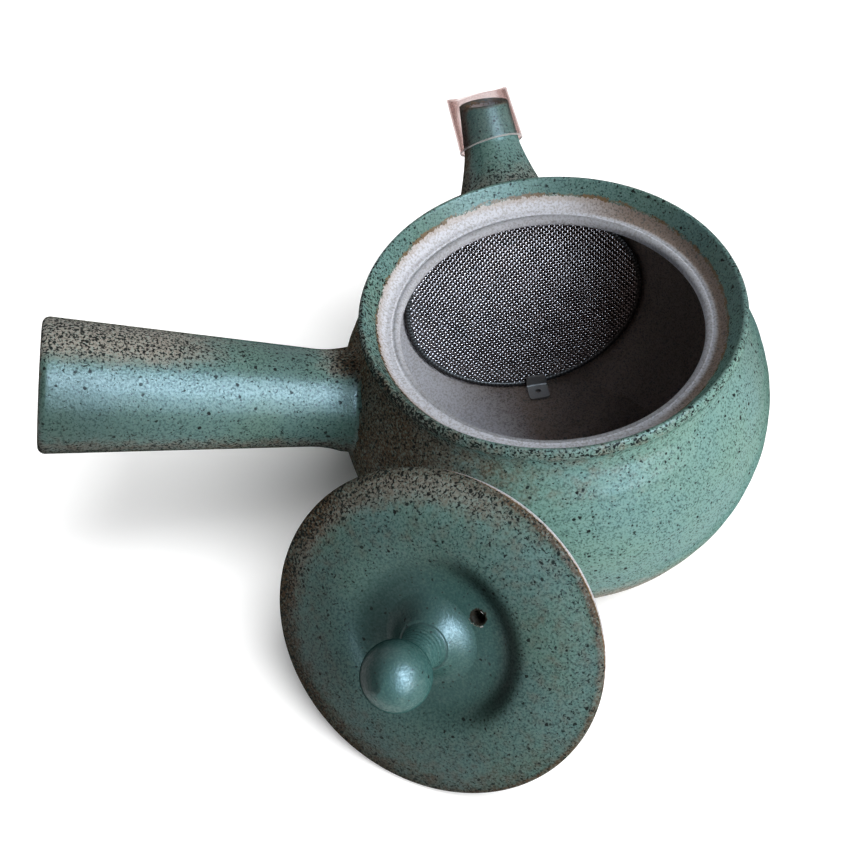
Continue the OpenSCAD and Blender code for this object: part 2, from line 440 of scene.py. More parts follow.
# Inside clay: brown and dark as painted shade
CLAY_INNER = (0.400, 0.315, 0.268)
CLAY_DOT = (0.150, 0.150, 0.155)
CLAY_SHADE = (0.66, 0.65, 0.64)
GRAIN_SHADE = (0.40, 0.43, 0.43)
FILM_DEEP = (0.610, 0.515, 0.500)
FILM_MIDDLE = (0.700, 0.610, 0.595)
FILM_PALE = (0.950, 0.935, 0.935)
FILM_MILK = (0.800, 0.760, 0.750)
STEEL_WIRE = (0.27, 0.215, 0.205)
# Near-black steel for the hem: painted shade
STEEL_HEM_SHADED = (0.048, 0.040, 0.037)
STEEL_TAB = (0.155, 0.125, 0.110)

# Noise and speck scales, in cells per metre
CLOUD_SCALE = 60
STAIN_SCALE = 160
HAZE_SCALE = 240
LINE_SCALE = 260
PATCH_SCALE = 420
SPECK_SCALE = 780
FINE_SPECK_SCALE = 1500
BEND_SCALE = 1500
CROWD_SCALE = 1800
GRAIN_SCALE = 2100
CLAY_DOT_SCALE = 2300
SCRATCH_SCALE = 3000

# How far specks are bent out of round, and the depths of the glaze's skin and of scratches, in metres
BEND_M = 0.0006
SKIN_M = 0.00012
SCRATCH_M = 0.00003


def speck_layer(tree, where, scale, small, large, chance):
    """Irregular dots, one to a cell: their mask, and a random number for each dot's tone."""
    cells = add(tree, "TexVoronoi", {"Vector": where, "Scale": scale})
    random = add(tree, "SeparateColor", {0: cells.outputs["Color"]})
    size = ease(tree, random.outputs[1], 0.0, 1.0, small, large)
    dots = ease(tree, calc(tree, "SUBTRACT", size, cells.outputs["Distance"]), -0.04, 0.07)
    here = calc(tree, "LESS_THAN", random.outputs[0], chance)
    return calc(tree, "MULTIPLY", dots, here), random.outputs[2]


def glaze_material():
    """Speckled glaze that breaks brown where it is thin, and bare clay past the glaze's edge.

    Vertex marks steer it. The mark edge is the distance in millimetres from the glaze's edge, positive on
    the glaze. The marks speck, rust, deep and tan say how much of each a place has. The mark inner makes
    clay brown, dark and sandy: painted shade in the hollows. The mark tone scales the colour to paint shade
    and light, and dulls the gloss where it is low.
    """
    material, tree, shader = new_material("speckled_glaze")
    where = add(tree, "TexCoord").outputs["Object"]
    edge = mark(tree, "edge")
    speck = mark(tree, "speck")
    rust = mark(tree, "rust")
    large = noise(tree, where, CLOUD_SCALE, 2.0)
    middle = noise(tree, where, PATCH_SCALE, 3.0, 0.6)
    grain = noise(tree, where, GRAIN_SCALE, 1.5, 0.55)

    # Glaze colour
    colour = mix(tree, ease(tree, large, 0.35, 0.65), TEAL_GREEN, TEAL_BLUE)
    deep = mark(tree, "deep")
    plain = ease(tree, deep, 0.0, 1.0, 1.0, 0.35)
    colour = mix(tree, deep, colour, TEAL_DEEP)
    colour = mix(tree, ease(tree, middle, 0.50, 0.80, 0.0, 0.3), colour, TEAL_PALE)
    sand = calc(tree, "ADD", mark(tree, "tan"), calc(tree, "MULTIPLY", middle, 0.5))
    colour = mix(tree, ease(tree, sand, 0.45, 1.1), colour, TAN)
    rusty = calc(tree, "ADD", rust, calc(tree, "MULTIPLY", calc(tree, "SUBTRACT", middle, 0.5), 1.2))
    brown = mix(tree, ease(tree, large, 0.4, 0.6), RUST_WARM, RUST_GREY)
    colour = mix(tree, ease(tree, rusty, 0.15, 0.95), colour, brown)
    light_grain = calc(tree, "MULTIPLY", ease(tree, grain, 0.50, 0.34, 0.0, 0.45), plain)
    dark_grain = calc(tree, "MULTIPLY", ease(tree, grain, 0.48, 0.68, 0.0, 0.9), plain)
    colour = mix(tree, light_grain, colour, TEAL_PALE)
    colour = mix(tree, dark_grain, colour, GRAIN_SHADE, "MULTIPLY")
    # Painted shade and light: the mark tone scales the glaze's colour
    tone = mark(tree, "tone")
    colour = scaled(tree, colour, tone)

    # Iron specks: scattered dots, finer dots between them, and joined ones where they crowd
    bend = noise(tree, where, BEND_SCALE, 1.0, output="Color")
    bend = add(tree, "VectorMath", {0: bend, 1: (0.5,) * 3}, operation="SUBTRACT").outputs[0]
    bent = {0: bend, 1: (BEND_M,) * 3, 2: where}
    bent = add(tree, "VectorMath", bent, operation="MULTIPLY_ADD").outputs[0]
    chance = calc(tree, "MULTIPLY", speck, 0.8)
    dots, ink_tone = speck_layer(tree, bent, SPECK_SCALE, 0.10, 0.32, chance)
    chance = calc(tree, "MULTIPLY_ADD", speck, 0.6, 0.08)
    small_dots, _ = speck_layer(tree, bent, FINE_SPECK_SCALE, 0.16, 0.38, chance)
    crowd = noise(tree, bent, CROWD_SCALE, 1.5, 0.55)
    crowd = ease(tree, calc(tree, "MULTIPLY_ADD", speck, 0.26, crowd), 0.735, 0.80)
    ink = mix(tree, ink_tone, SPECK_TEAL, SPECK_BLACK)
    colour = mix(tree, calc(tree, "MULTIPLY", small_dots, 0.9), colour, SPECK_TEAL)
    dark = calc(tree, "MAXIMUM", dots, crowd)
    colour = mix(tree, calc(tree, "MULTIPLY", dark, 0.97), colour, ink)

    # Bare clay, tinted next to the glaze, darkened by the marks inner and tone as painted shade, and the
    # broken brown line at the glaze's edge
    shore = calc(tree, "MULTIPLY_ADD", calc(tree, "SUBTRACT", middle, 0.5), 1.3, edge)
    shore = calc(tree, "MULTIPLY_ADD", calc(tree, "SUBTRACT", grain, 0.5), 1.6, shore)
    bare = ease(tree, shore, 0.1, -0.1)
    clay = mix(tree, ease(tree, grain, 0.44, 0.66), CLAY_PALE, CLAY_GREY)
    clay = mix(tree, ease(tree, shore, -2.0, -0.2, 0.0, 0.6), clay, CLAY_TAN)
    inner = mark(tree, "inner")
    clay = mix(tree, inner, clay, CLAY_INNER)
    sandy = calc(tree, "MULTIPLY", ease(tree, grain, 0.45, 0.65), ease(tree, inner, 0.0, 1.0, 0.1, 0.9))
    clay = mix(tree, sandy, clay, CLAY_SHADE, "MULTIPLY")
    clay_dots = ease(tree, noise(tree, where, CLAY_DOT_SCALE, 1.0), 0.56, 0.66)
    clay_dots = calc(tree, "MULTIPLY", clay_dots, ease(tree, inner, 0.0, 1.0, 0.15, 0.75))
    clay = mix(tree, clay_dots, clay, CLAY_DOT)
    clay = scaled(tree, clay, ease(tree, tone, 0.0, 0.4))
    colour = mix(tree, bare, colour, clay)
    line_width = ease(tree, noise(tree, where, LINE_SCALE, 2.0), 0.35, 0.65, 0.12, 0.55)
    from_line = calc(tree, "ABSOLUTE", calc(tree, "SUBTRACT", shore, 0.3))
    shore_line = ease(tree, calc(tree, "SUBTRACT", line_width, from_line), -0.1, 0.25, 0.0, 0.9)
    colour = mix(tree, shore_line, colour, mix(tree, dark, EDGE_BROWN, SPECK_BLACK))

    # Gloss and the sandy skin of the glaze
    rough = calc(tree, "MULTIPLY_ADD", rust, 0.22, ease(tree, grain, 0.3, 0.7, 0.24, 0.40))
    rough = calc(tree, "MULTIPLY_ADD", deep, 0.08, rough)
    rough = calc(tree, "MAXIMUM", rough, ease(tree, bare, 0.0, 1.0, 0.0, 0.85))
    height = calc(tree, "MULTIPLY_ADD", middle, 0.8, grain)
    height = calc(tree, "MULTIPLY_ADD", dark, -0.5, height)
    bump = add(tree, "Bump", {"Height": height, "Strength": 0.5, "Distance": SKIN_M})
    shine = ease(tree, deep, 0.5, 0.9, 0.13, 0.24)
    grazing = add(tree, "LayerWeight", {"Blend": 0.5}).outputs["Facing"]
    for cause, lo, hi, kept_lo, kept_hi in ((dark, 0.0, 1.0, 1.0, 0.3), (rust, 0.2, 1.0, 1.0, 0.3),
                                            (bare, 0.0, 1.0, 1.0, 0.1), (grazing, 0.35, 0.8, 1.0, 0.0),
                                            (tone, 0.2, 0.45, 0.3, 1.0)):
        shine = calc(tree, "MULTIPLY", shine, ease(tree, cause, lo, hi, kept_lo, kept_hi))
    feed(tree, shader, {"Base Color": colour, "Roughness": rough, "Normal": bump.outputs[0],
                        "Specular IOR Level": shine})
    return material


def steel_material(name, base, rough_lo, rough_hi, metallic=1.0):
    material, tree, shader = new_material(name)
    where = add(tree, "TexCoord").outputs["Object"]
    stain = noise(tree, where, STAIN_SCALE, 2.0)
    scratch = noise(tree, where, SCRATCH_SCALE, 1.0)
    darker = tuple(0.75 * c for c in base)
    colour = mix(tree, ease(tree, stain, 0.45, 0.75), base, darker)
    rough = ease(tree, scratch, 0.3, 0.7, rough_lo, rough_hi)
    bump = add(tree, "Bump", {"Height": scratch, "Strength": 0.15, "Distance": SCRATCH_M})
    feed(tree, shader, {"Base Color": colour, "Roughness": rough, "Normal": bump.outputs[0],
                        "Metallic": metallic})
    return material


def clear_material():
    """Thin soft plastic: clear and a little pink, milky in places, with a glossy skin on its outer faces."""
    material, tree, shader = new_material("clear_film")
    where = add(tree, "TexCoord").outputs["Object"]
    haze = noise(tree, where, HAZE_SCALE, 2.0)
    tint = mix(tree, mark(tree, "crease"), FILM_PALE, mix(tree, haze, FILM_DEEP, FILM_MIDDLE))
    through = add(tree, "BsdfTransparent", {"Color": tint})
    milk = add(tree, "BsdfDiffuse", {"Color": (*FILM_MILK, 1)})
    milky = calc(tree, "MAXIMUM", ease(tree, haze, 0.3, 0.7, 0.0, 0.02), mark(tree, "lip"))
    body = add(tree, "MixShader", {0: milky, 1: through.outputs[0], 2: milk.outputs[0]})
    skin = add(tree, "BsdfGlossy", {"Color": (1, 1, 1, 1), "Roughness": 0.33})
    front = calc(tree, "SUBTRACT", 1.0, add(tree, "NewGeometry").outputs["Backfacing"])
    gloss = calc(tree, "MULTIPLY", add(tree, "Fresnel", {"IOR": 1.13}).outputs[0], front)
    film = add(tree, "MixShader", {0: gloss, 1: body.outputs[0], 2: skin.outputs[0]})
    feed(tree, tree.nodes["Material Output"], {"Surface": film.outputs[0]})
    tree.nodes.remove(shader)
    return material


GLAZE = glaze_material()
WIRE = steel_material("steel_wire", STEEL_WIRE, 0.18, 0.28)
HEM = steel_material("steel_hem", STEEL_HEM_SHADED, 0.45, 0.6)
TAB = steel_material("steel_tab", STEEL_TAB, 0.5, 0.7, 0.25)
CLEAR = clear_material()


# The pot
COLLAR_MID = np.array([COLLAR_R - COLLAR_B, COLLAR_Z])


def outside_profile():
    shoulder = np.array([belly_at(SHOULDER_Z), SHOULDER_Z])
    rise = (SHOULDER_Z - BELLY_Z) / BELLY_H
    shoulder_way = np.array([-BELLY_R / BELLY_H * rise / math.sqrt(1 - rise * rise), 1])
    low = direction(COLLAR_LOW)
    cove_end = COLLAR_MID + COLLAR_B * low
    cove_way = np.array([-low[1], low[0]])
    pull = (cove_end[1] - SHOULDER_Z) / 3
    rim_mid = COLLAR_MID + (COLLAR_B - RIM_B) * direction(RIM_TURN)
    return np.vstack([
        belly_arc(0, SHOULDER_Z, 0, 110),
        bezier([shoulder, shoulder + pull * shoulder_way, cove_end - pull * cove_way, cove_end], 22)[1:],
        arc(COLLAR_MID, COLLAR_B, COLLAR_LOW, RIM_TURN, 12)[1:],
        arc(rim_mid, RIM_B, RIM_TURN, RIM_IN, 10)[1:],
    ])


OUTSIDE = outside_profile()


def pot_radius(z):
    """Outer radius of the pot at a height up to the collar's widest place."""
    past_widest = 14
    below = OUTSIDE[:-past_widest]
    return np.interp(z, below[:, 1], below[:, 0])


def build_pot():
    foot_points = 24
    wall_points = 40
    throat_z = LEDGE_Z - LEDGE_T
    inner_top = throat_z - ROOM_DROP
    wall_foot = np.array([GALLERY_R + LEDGE_B / 2, LEDGE_Z + LEDGE_B])
    ledge_out = np.array([GALLERY_R - LEDGE_B / 2, LEDGE_Z])
    wall_up = unit(OUTSIDE[-1] - wall_foot)
    groove = MOUTH_R + LEDGE_B + 0.55
    inner = belly_arc(FLOOR_T + FLOOR_ROUND_H, inner_top, WALL, 90)[::-1]
    floor_r = inner[-1, 0] - FLOOR_ROUND_W
    foot_r = OUTSIDE[0, 0]
    profile = np.vstack([
        line((0, 0), (foot_r - FOOT_ROUND, 0), foot_points)[:-1],
        bezier([(foot_r - FOOT_ROUND, 0), (foot_r, 0), OUTSIDE[1], OUTSIDE[2]], 5),
        OUTSIDE[3:],
        line(OUTSIDE[-1], wall_foot + 0.7 * wall_up, 22)[1:],
        bezier([wall_foot + 0.7 * wall_up, wall_foot - 0.1 * wall_up, ledge_out,
                ledge_out - (0.5, 0)], 8)[1:],
        bezier([(groove + 0.5, LEDGE_Z), (groove + 0.1, LEDGE_Z), (groove + 0.3, LEDGE_Z - GROOVE_D),
                (groove, LEDGE_Z - GROOVE_D)], 5),
        bezier([(groove, LEDGE_Z - GROOVE_D), (groove - 0.3, LEDGE_Z - GROOVE_D), (groove - 0.2, LEDGE_Z),
                (MOUTH_R + LEDGE_B, LEDGE_Z)], 5)[1:],
        arc((MOUTH_R + LEDGE_B, LEDGE_Z - LEDGE_B), LEDGE_B, 90, 180, 6)[1:],
        arc((MOUTH_R + LEDGE_B, throat_z + LEDGE_B), LEDGE_B, 180, 270, 6),
        line((MOUTH_R + LEDGE_B, throat_z), inner[0], 8)[1:],
        inner[1:],
        bezier([inner[-1], inner[-1] - (0.5, 0.8), (floor_r + 0.5, FLOOR_T), (floor_r, FLOOR_T)], 6)[1:],
        line((floor_r, FLOOR_T), (0, FLOOR_T), 30)[1:],
    ])
    way = along(profile)
    rim = int(np.argmax(profile[:, 1]))
    foot_way = np.interp(GLAZE_FOOT_Z, profile[foot_points:rim, 1], way[foot_points:rim])
    verts, faces, row = lathe(profile, LATHE_COLS)

    across, turn = round_axis(verts)
    az = np.degrees(turn)
    y = verts[:, 1]
    z = verts[:, 2]
    outer = row <= rim
    room = row > rim + wall_points

    # Where the glaze ends, at the foot and inside the rim
    glaze_end = GLAZE_END_Z - 0.2 * np.cos(turn) + 1.1 * np.maximum(0, np.sin(turn))
    wall = slice(rim, rim + wall_points)
    end_way = np.interp(-glaze_end, -profile[wall, 1], way[wall])
    edge = np.clip(np.minimum(way[row] - foot_way, end_way - way[row]), -20, 20)

    # Places on the outside: browner or more speckled ones, painted shade at the far right and on the
    # collar's far side, and painted light at the front right and near the foot
    near_handle = fade(apart(az, HANDLE_SIDE_AZ), 18, 66)
    collar = smooth(z, 55, 60)
    far_collar_shade = collar * smooth(np.sin(turn), 0.3, 0.9)
    brink = outer * smooth(z, 59.5, 61) * fade(z, 62.3, 63)
    shoulder = smooth(z, 46, 54) * fade(apart(az, SHOULDER_AZ), 25, 70)
    from_spout = np.hypot(az - SPOUT_SIDE_AZ, 1.5 * (z - SPOUT_SIDE_Z))
    beside_spout = outer * smooth(z, 34, 50) * fade(from_spout, 4, 30)
    far_right_shade = outer * smooth(cos_from(turn, FAR_RIGHT_AZ), 0.80, 1.0)
    front_right_light = outer * smooth(cos_from(turn, FRONT_RIGHT_AZ), 0.4, 1.0)
    low = outer * fade(z, 3, 16)

    # Painted shade inside: the gallery's right wall, brown and dark; the whole room, darker at its front;
    # its right side, darker still; and the wall behind the strainer, darkest. The room's left wall stays
    # pale, as the lit side
    dim_wall = ~outer * smooth(across, MOUTH_R + 1.7, MOUTH_R + 2.7) * smooth(np.cos(turn), 0.2, 0.7)
    dim_room = fade(z, 53.5, 54.5) * fade(-np.cos(turn), 0.0, 0.8)
    dim = room * (0.66 + 0.07 * smooth(-y, 0, 25))
    dusk = room * smooth(np.cos(turn), -0.2, 0.9) * fade(z, 50, 53)
    sheet_y = STRAINER_R + (z - BELLY_Z) * math.tan(math.radians(STRAINER_TILT))
    behind = room * smooth(y - sheet_y, 1, 4)
    marks = {
        "edge": edge,
        "speck": 0.30 + 0.10 * collar + 0.40 * near_handle + 0.25 * fade(z, 4, 16) + 0.35 * brink,
        "rust": (near_handle * smooth(z, 8, 30) * (0.85 - 0.6 * smooth(z, 57, 60)) + 0.15 * brink
                 + 0.38 * shoulder + 0.8 * beside_spout),
        # Painted shade and light in the mark tone
        "tone": (0.95 - 0.30 * far_right_shade + 0.13 * front_right_light - 0.20 * far_collar_shade + 0.25 * low
                 - np.maximum(dim, np.maximum(0.85 * behind, 0.75 * dusk))),
        "tan": 1.30 * fade(z, 5, 33),
        "inner": np.where(room, dim_room, dim_wall),
    }
    # Faint throwing rings
    thrown = 0.05 * np.sin(z * 1.9 + turn) + 0.04 * np.sin(z * 0.83 - 2 * turn)
    wobble = (outer & (z > 1) & (z < 60)) * thrown
    verts[:, :2] *= (1 + wobble / np.maximum(20, across))[:, None]
    mesh = marked_mesh("thrown_pot", verts, faces, marks)
    origin, spout_axes = spout_frame()
    punch(mesh, origin, spout_axes[:, 2], SPOUT_HOLE_R, SPOUT_HOLE_R, SPOUT_HOLE_REACH)
    finish_object("thrown_pot", mesh, "pot", GLAZE, ["pot_body"])


# Tubes that grow out of the pot
def handle_frame():
    return np.array([-belly_at(HANDLE_Z), 0, HANDLE_Z]), turned(HANDLE_TILT, 180)


def spout_frame():
    foot = np.append(belly_at(SPOUT_Z) * direction(SPOUT_AZ), SPOUT_Z)
    return foot, turned(SPOUT_TILT, SPOUT_AZ)


def tube_point(tube, r, s, phi):
    local = np.stack([r * np.cos(phi), r * np.sin(phi), s], -1)
    return on_axis(tube[0], tube[1], local)


def meet_pot(tube, radius, phi):
    """How far along the axis each side line of a tube leaves the pot, by halving."""
    reach = 16.0
    lo = np.full(phi.shape, -reach)
    hi = np.full(phi.shape, reach)
    for _ in range(40):
        mid = (lo + hi) / 2
        p = tube_point(tube, radius(mid), mid, phi)
        out = np.hypot(p[:, 0], p[:, 1]) > pot_radius(p[:, 2])
        hi = np.where(out, mid, hi)
        lo = np.where(out, lo, mid)
    return hi


def tube_on_pot(tube, outer, wall, outer_end, inner_end, lip_rise, fillet, cols):
    """Hollow tube luted to the pot with a fillet of slip.

    Returns vertices, faces, and each vertex's way along the tube and angle round it.
    """
    def inner(s):
        return outer(s) - wall

    step = 0.5
    sunk = 0.06
    phi = ring_angles(cols)
    s0 = meet_pot(tube, outer, phi)
    s1 = meet_pot(tube, inner, phi)
    root = tube_point(tube, outer(s0), s0, phi)
    away = root - tube_point(tube, np.zeros(cols), s0, phi)
    slope = (pot_radius(root[:, 2] + step) - pot_radius(root[:, 2] - step)) / (2 * step)
    flat = np.hypot(root[:, 0], root[:, 1])
    normal = unit(np.stack([root[:, 0] / flat, root[:, 1] / flat, -slope], -1))
    foot = root + fillet * unit(away - (away * normal).sum(1)[:, None] * normal)
    keep = (pot_radius(foot[:, 2]) - sunk) / np.hypot(foot[:, 0], foot[:, 1])
    foot[:, :2] *= keep[:, None]
    rise = tube_point(tube, outer(s0 + fillet), s0 + fillet, phi)

    rows = []
    ways = []
    for t in np.linspace(0, 1, 9):
        rows.append((1 - t) ** 2 * foot + 2 * t * (1 - t) * root + t * t * rise)
        ways.append(s0 + fillet * (2 * t - 1))
    for t in np.linspace(0, 1, 60)[1:]:
        s = s0 + fillet + t * (outer_end - s0 - fillet)
        rows.append(tube_point(tube, outer(s), s, phi))
        ways.append(s)
    for a in np.radians(np.linspace(0, 180, 11))[1:-1]:
        half = (1 + np.cos(a)) / 2
        s = half * outer_end + (1 - half) * inner_end + lip_rise * np.sin(a)
        r = half * outer(outer_end) + (1 - half) * inner(inner_end)
        rows.append(tube_point(tube, r, s, phi))
        ways.append(outer_end + 2 * lip_rise * a / np.pi)
    for t in np.linspace(0, 1, 30):
        s = inner_end + t * (s1 - step - inner_end)
        rows.append(tube_point(tube, inner(s), s, phi))
        ways.append(outer_end + 2 * lip_rise + inner_end - s)
    verts = np.concatenate(rows)
    return verts, grid_faces(len(rows), cols, cyclic=True), np.concatenate(ways), np.tile(phi, len(rows))


def handle_radius(s):
    s = np.maximum(s, 0)
    flare = HANDLE_FLARE * np.maximum(0, 1 - s / FLARE_LEN) ** 2
    return HANDLE_ROOT_R + (HANDLE_END_R - HANDLE_ROOT_R) * s / HANDLE_LEN + flare


def build_handle():
    lip = HANDLE_WALL / 2
    end = np.full(HANDLE_COLS, HANDLE_LEN - lip)
    verts, faces, way, phi = tube_on_pot(
        handle_frame(), handle_radius, HANDLE_WALL, end, end, lip, HANDLE_FILLET, HANDLE_COLS)
    up = -np.cos(phi)
    front = np.sin(phi)
    glaze_end = HANDLE_LEN + 4.0
    far = smooth(way, 12, 44)
    root = fade(way, 2, 12)
    seam = fade(way, 1, 7)
    end_lip = smooth(way, HANDLE_LEN - 1.2, HANDLE_LEN)
    back = smooth(up, -0.3, 0.3) * smooth(-front, -0.72, 0.0)
    low = smooth(-up, -0.2, 0.35) * smooth(front, 0.2, 0.6)
    marks = {
        "edge": np.clip(glaze_end - way, -20, 20),
        "speck": 0.28 + 0.65 * back * (0.35 + 0.65 * far) + 0.35 * root * back + 0.50 * low,
        "rust": 0.95 * seam * back + 0.05 * back * far + 0.50 * low + 0.9 * end_lip,
        # Painted shade and light: the handle darker than the pot and at the front of its far end, lighter on
        # its speckled top near the ends
        "tone": 0.63 + 0.38 * back * np.maximum(far, root) - 0.26 * smooth(way, 30, 58) * (1 - back),
        "deep": 0.25 * root * (1 - back),
        "tan": 0.90 * back * far + 0.55 * low + 0.70 * back * root,
        # Painted shade: brown, dark clay inside the hollow handle
        "inner": smooth(way, glaze_end, glaze_end + 5),
    }
    make_object("hollow_handle", verts, faces, marks, "pot", GLAZE, ["handle"])


def spout_radius(s):
    neck = SPOUT_LEN - SPOUT_STRAIGHT
    span = SPOUT_ROOT_R - SPOUT_NECK_R
    curve = bezier([(SPOUT_ROOT_R, 0), (SPOUT_ROOT_R - 0.33 * span, 0.35 * neck),
                    (SPOUT_NECK_R + 0.22 * span, 0.65 * neck), (SPOUT_NECK_R, neck)], 60)
    straight = SPOUT_NECK_R + (SPOUT_TIP_R - SPOUT_NECK_R) * (s - neck) / SPOUT_STRAIGHT
    return np.where(s < neck, np.interp(s, curve[:, 1], curve[:, 0]), straight)


def build_spout():
    cut = math.tan(math.radians(MOUTH_CUT))
    lean = cut * np.cos(ring_angles(SPOUT_COLS))
    lip = 0.35
    outer_end = SPOUT_LEN - lip + SPOUT_TIP_R * lean
    inner_end = SPOUT_LEN - lip + (SPOUT_TIP_R - SPOUT_WALL) * lean
    verts, faces, way, angle = tube_on_pot(
        spout_frame(), spout_radius, SPOUT_WALL, outer_end, inner_end, lip, SPOUT_FILLET, SPOUT_COLS)
    end = SPOUT_LEN + SPOUT_TIP_R * cut * np.cos(angle)
    left = smooth(np.sin(angle), 0.70, 1.0)
    near_root = fade(way, 6, 17) * smooth(-np.cos(angle), -0.3, 0.6)
    marks = {
        "edge": np.clip(end + 1.0 - way, -20, 20),
        "speck": 0.28 + 0.62 * near_root,
        "rust": 1.15 * left + 0.15 * near_root + 0.7 * smooth(way - end, -1.2, 0),
        # Painted shade: the spout darker than the pot all over
        "tone": 0.75,
        "deep": 0.35 * smooth(way, 14, 24) + 0.45 * smooth(np.sin(angle), 0.1, 0.8),
        "tan": 0.55 * near_root,
        # Painted shade: brown, dark clay inside the spout
        "inner": smooth(way - end, 0.8, 3),
    }
    make_object("thrown_spout", verts, faces, marks, "pot", GLAZE, ["spout"])


# The clear sleeve
def bulge(phi, centre, width):
    """Bell that is 1 at an angle round the sleeve."""
    return np.exp(-((phi - centre) / width) ** 2)


def build_sleeve():
    """Lay-flat tube that grips the spout: creased at two sides, its top cut on a slant along the mouth."""
    origin, turn = spout_frame()
    tip = np.array(Matrix.Rotation(math.radians(-GUARD_LEAN - FILM_LEAN), 3, "X"))
    phi = ring_angles(SLEEVE_COLS)
    side = np.abs(np.sin(phi))
    ripple = 0.5 * bulge(phi, 1.5 * np.pi, 0.45) + 1.1 * bulge(phi, 0.5 * np.pi, 0.6)
    layers = []
    creases = []
    lips = []
    for inset, order in ((0.0, 1), (GUARD_WALL, -1)):
        for t in np.linspace(0, 1, SLEEVE_ROWS)[::order]:
            creases.append(np.minimum(1, smooth(side, 0.72, 0.92) + 0.4 * smooth(t, 0.65, 0.9)))
            lips.append(np.full(SLEEVE_COLS, 0.55 if t == 0 else 0.0))
            wide = FILM_WIDE - (FILM_WIDE - FILM_TOP_WIDE) * t - inset
            thick = FILM_THICK - (FILM_THICK - FILM_TOP_THICK) * t - inset
            x = thick * np.cos(phi) * (1 - 0.05 * t * side ** 2)
            y = wide * np.sin(phi) * (1 + 0.035 * (0.4 + t) * side ** 8)
            dip = 0.35 * t * t * np.cos(2 * phi + 0.6)
            s = GUARD_LEN * t + t * t * (ripple + FILM_SLANT * np.cos(phi)) + dip
            local = np.stack([x, y, s], -1) @ tip.T
            layers.append(on_axis(origin, turn, local + (0, 0, SPOUT_LEN - GUARD_OVER)))
    verts = np.concatenate(layers)
    faces = grid_faces(2 * SLEEVE_ROWS, SLEEVE_COLS, cyclic=True)
    marks = {"crease": np.concatenate(creases), "lip": np.concatenate(lips)}
    make_object("clear_sleeve", verts, faces, marks, "guard", CLEAR, ["spout_guard"])


# The strainer
def strainer_frame():
    """Middle of the panel, and its side, up and front directions."""
    tilt = math.radians(STRAINER_TILT)
    out = np.append(direction(STRAINER_AZ), 0)
    side = np.array([out[1], -out[0], 0])
    up = math.cos(tilt) * np.array([0, 0, 1]) + math.sin(tilt) * out
    return STRAINER_R * out + np.array([0, 0, BELLY_Z]), side, up, np.cross(side, up)


def panel_half_width(v, inset):
    """Half width of the panel at a height along it, where it meets the pot's inner wall less an inset."""
    tilt = math.radians(STRAINER_TILT)
    z = BELLY_Z + v * math.cos(tilt)
    out = STRAINER_R + v * math.sin(tilt)
    top = LEDGE_Z - LEDGE_T - ROOM_DROP - inset
    room = belly_at(z, WALL + inset) ** 2 - out ** 2
    room = np.where((z < FLOOR_T + inset) | (z > top), 0, room)
    return np.sqrt(np.maximum(0, room))


def panel_outline(inset, n):
    v = np.linspace(PANEL_LOW, PANEL_HIGH, PANEL_STEPS)
    w = panel_half_width(v, inset)
    v = v[w > 0]
    w = w[w > 0]
    loop = np.vstack([np.stack([w, v], -1), np.stack([-w, v], -1)[::-1]])
    loop = np.vstack([loop, loop[:1]])
    way = along(loop)
    at = np.linspace(0, way[-1], n, endpoint=False)
    loop = np.stack([np.interp(at, way, loop[:, 0]), np.interp(at, way, loop[:, 1])], -1)
    for _ in range(3):
        loop = (np.roll(loop, 1, 0) + 2 * loop + np.roll(loop, -1, 0)) / 4
    return loop


def to_panel(u, v, w):
    mid, side, up, front = strainer_frame()
    return mid + np.multiply.outer(u, side) + np.multiply.outer(v, up) + np.multiply.outer(w, front)


def wire(path):
    """Tube round a path of points in the panel's own side, up and front values."""
    way = unit(np.gradient(path, axis=0))
    across = unit(np.cross(way, (0, 0, 1)))
    other = np.cross(way, across)
    a = ring_angles(WIRE_SIDES)
    ring = np.cos(a)[None, :, None] * across[:, None] + np.sin(a)[None, :, None] * other[:, None]
    return (path[:, None] + WIRE_R * ring).reshape(-1, 3)


def build_wires():
    """Plain weave: upright and level wires pass over and under each other in turn."""
    inset = STRAINER_GAP + 0.5 * HEM_W
    tall = np.linspace(PANEL_LOW, PANEL_HIGH, PANEL_STEPS)
    half = panel_half_width(tall, inset)
    verts = []
    faces = []
    total = 0

    def lay(path):
        nonlocal total
        verts.append(wire(path))
        faces.extend((np.array(grid_faces(len(path), WIRE_SIDES)) + total).tolist())
        for end, order in ((0, 1), (len(path) - 1, -1)):
            faces.append([total + end * WIRE_SIDES + k for k in range(WIRE_SIDES)][::order])
        total += len(path) * WIRE_SIDES

    lift = 1.02 * WIRE_R
    count_u = int(half.max() / WIRE_PITCH_U)
    for i in range(-count_u, count_u + 1):
        u = i * WIRE_PITCH_U
        inside = tall[half > abs(u)]
        v = np.arange(inside[0], inside[-1], WIRE_PITCH_V / 4)
        w = lift * np.cos(np.pi * v / WIRE_PITCH_V) * (-1) ** i
        lay(np.stack([np.full(len(v), u), v, w], -1))
    for j in range(int(tall[0] / WIRE_PITCH_V), int(tall[-1] / WIRE_PITCH_V) + 1):
        v = j * WIRE_PITCH_V
        reach = float(np.interp(v, tall, half))
        if reach < 2 * WIRE_PITCH_U:
            continue
        u = np.arange(-reach, reach, WIRE_PITCH_U / 4)
        w = -lift * np.cos(np.pi * u / WIRE_PITCH_U) * (-1) ** j
        lay(np.stack([u, np.full(len(u), v), w], -1))
    points = np.concatenate(verts)
    make_object("woven_wire", to_panel(*points.T), faces, {}, "strainer", WIRE, ["strainer_mesh"])


